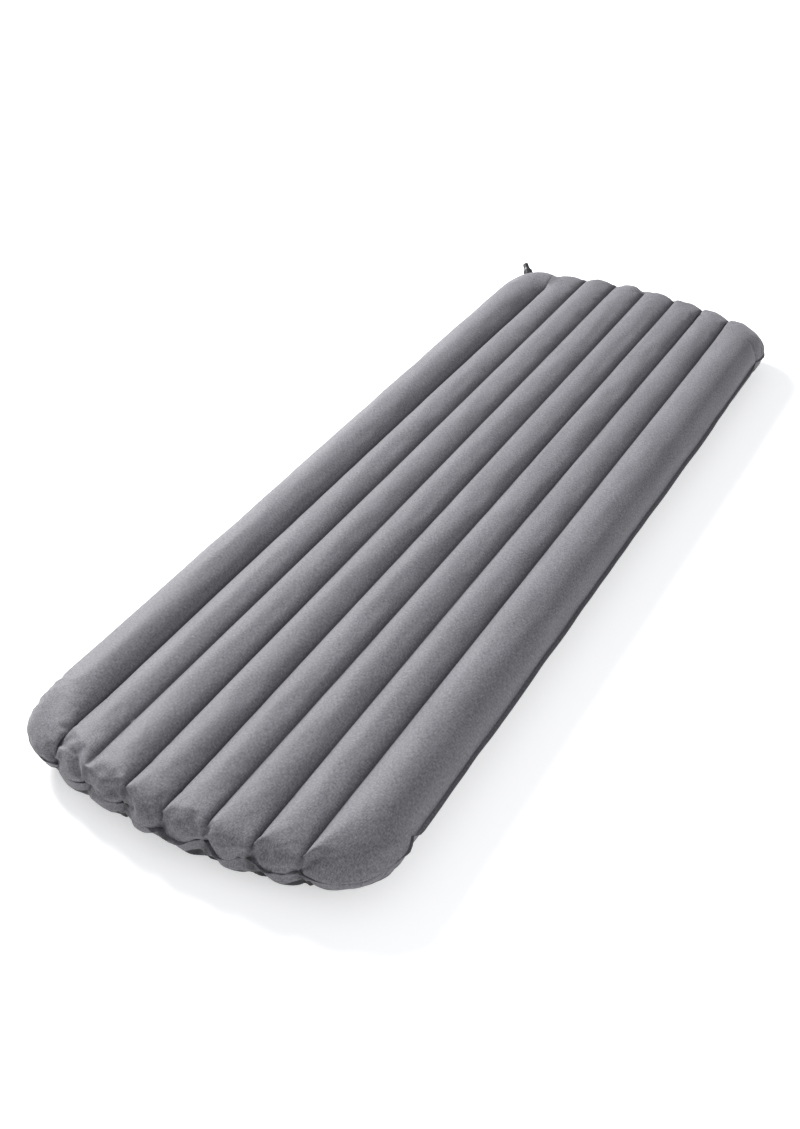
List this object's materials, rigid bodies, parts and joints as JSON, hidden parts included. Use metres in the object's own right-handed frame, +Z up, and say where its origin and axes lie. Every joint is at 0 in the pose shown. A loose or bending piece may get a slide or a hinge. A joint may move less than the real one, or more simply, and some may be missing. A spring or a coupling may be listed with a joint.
{
  "type": "inflatable sleeping pad",
  "caption": "Inflated camping pad of long welded air tubes between a light top fabric and a dark bottom fabric, with rounded corners and a twist-open inflation valve at one corner.",
  "frame": {"origin": "on the floor, under the middle of the pad's plan", "axes": "+X across the pad's width, +Y along its length towards the end with the valve, +Z up; the valve is at the -X, +Y corner"},
  "size_m": [0.6298, 1.829, 0.1045],
  "materials": {
    "top_fabric": "matte",
    "bottom_fabric": "matte",
    "baffle_fabric": "satin",
    "boot_rubber": "satin",
    "valve_plastic": "satin",
    "nozzle_plastic": "satin",
    "seal_rubber": "satin"
  },
  "bodies": {
    "pad": {"top_panel": "top_fabric", "bottom_panel": "bottom_fabric", "baffle_1": "baffle_fabric", "baffle_2": "baffle_fabric", "baffle_3": "baffle_fabric", "baffle_4": "baffle_fabric", "baffle_5": "baffle_fabric", "baffle_6": "baffle_fabric", "baffle_7": "baffle_fabric", "valve_boot": "boot_rubber", "valve_barrel": "valve_plastic", "plug_stem": "valve_plastic", "sealing_plug": "valve_plastic", "plug_seal": "seal_rubber"},
    "nozzle_carrier": {"nozzle_ring": "seal_rubber"},
    "nozzle": {"valve_nozzle": "nozzle_plastic"}
  },
  "joints": [
    {"name": "valve_travel", "type": "slide", "parent": "pad", "child": "nozzle_carrier", "axis": [-0.6124, 0.6124, 0.5], "range_m": [0, 0.006]},
    {"name": "valve_twist", "type": "hinge", "parent": "nozzle_carrier", "child": "nozzle", "pos_m": [-0.26728, 0.84411, 0.079], "axis": [-0.6124, 0.6124, 0.5], "range_deg": [0, 542]}
  ],
  "couplings": [
    {"joint": "valve_twist", "follows": "valve_travel", "rad_per_m": 1570.8}
  ]
}
